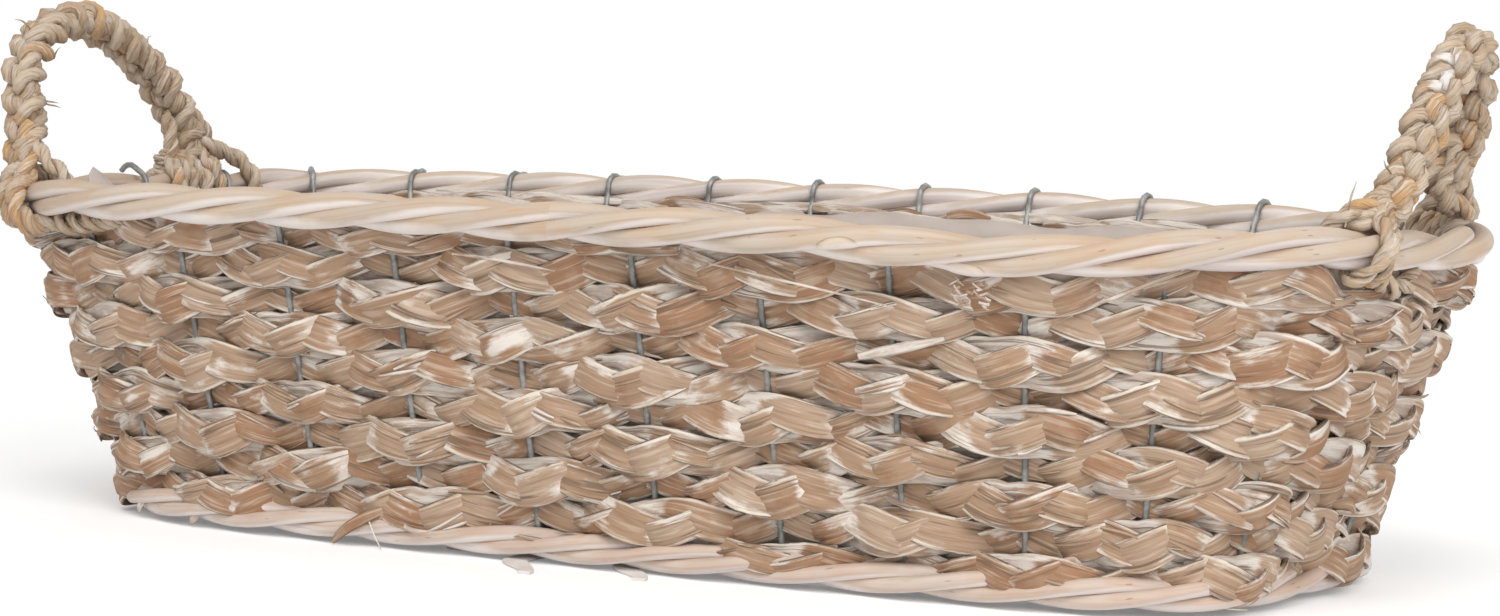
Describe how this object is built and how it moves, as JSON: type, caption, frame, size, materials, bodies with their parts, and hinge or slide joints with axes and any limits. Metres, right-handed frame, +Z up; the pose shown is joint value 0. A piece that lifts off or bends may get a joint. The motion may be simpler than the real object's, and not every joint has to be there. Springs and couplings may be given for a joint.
{
  "type": "planter basket",
  "caption": "Long low whitewashed basket of leaf plait woven round wire stakes, with twisted willow rims, a film liner and braided ear handles, for holding potted plants.",
  "frame": {"origin": "centre of the outer box, on the surface that the basket stands on", "axes": "+X along the length, +Z up, -Y the front"},
  "size_m": [0.6258, 0.24, 0.2222],
  "materials": {
    "whitewashed_willow": "peeled willow with a thin rubbed coat of white wash",
    "galvanised_wire": "dull zinc coat",
    "leaf_plait": "dry flat leaves, plaited, with rubbed white wash",
    "seagrass_braid": "twisted dry seagrass, matt",
    "split_cane": "flat split cane with white wash",
    "liner_film": "thin cloudy film"
  },
  "bodies": {
    "basket": {"rim_rod_1": "whitewashed_willow", "rim_rod_2": "whitewashed_willow", "rim_rod_3": "whitewashed_willow", "base_rod_1": "whitewashed_willow", "base_rod_2": "whitewashed_willow", "base_rod_3": "whitewashed_willow", "stake_01": "galvanised_wire", "stake_02": "galvanised_wire", "stake_03": "galvanised_wire", "stake_04": "galvanised_wire", "stake_05": "galvanised_wire", "stake_06": "galvanised_wire", "stake_07": "galvanised_wire", "stake_08": "galvanised_wire", "stake_09": "galvanised_wire", "stake_10": "galvanised_wire", "stake_11": "galvanised_wire", "stake_12": "galvanised_wire", "stake_13": "galvanised_wire", "stake_14": "galvanised_wire", "stake_15": "galvanised_wire", "stake_16": "galvanised_wire", "stake_17": "galvanised_wire", "stake_18": "galvanised_wire", "stake_19": "galvanised_wire", "stake_20": "galvanised_wire", "stake_21": "galvanised_wire", "stake_22": "galvanised_wire", "stake_23": "galvanised_wire", "stake_24": "galvanised_wire", "stake_25": "galvanised_wire", "stake_26": "galvanised_wire", "stake_27": "galvanised_wire", "wall_plait": "leaf_plait", "liner": "liner_film", "floor_cane_01": "split_cane", "floor_cane_02": "split_cane", "floor_cane_03": "split_cane", "floor_cane_04": "split_cane", "floor_cane_05": "split_cane", "floor_cane_06": "split_cane", "floor_cane_07": "split_cane", "floor_cane_08": "split_cane", "floor_cane_09": "split_cane", "floor_cane_10": "split_cane", "floor_cane_11": "split_cane", "floor_rod_1": "whitewashed_willow", "floor_rod_2": "whitewashed_willow", "floor_rod_3": "whitewashed_willow", "floor_rod_4": "whitewashed_willow", "floor_rod_5": "whitewashed_willow"},
    "left_handle": {"handle_left": "seagrass_braid"},
    "right_handle": {"handle_right": "seagrass_braid"}
  },
  "joints": [
    {"name": "left_handle_tilt", "type": "hinge", "parent": "basket", "child": "left_handle", "pos_m": [-0.28807, -0.03819, 0.13878], "axis": [0.0051, -1, 0], "range_deg": [-30, 30]},
    {"name": "right_handle_tilt", "type": "hinge", "parent": "basket", "child": "right_handle", "pos_m": [0.28703, 0.01007, 0.13878], "axis": [0.1048, 0.9945, 0], "range_deg": [-30, 30]}
  ]
}
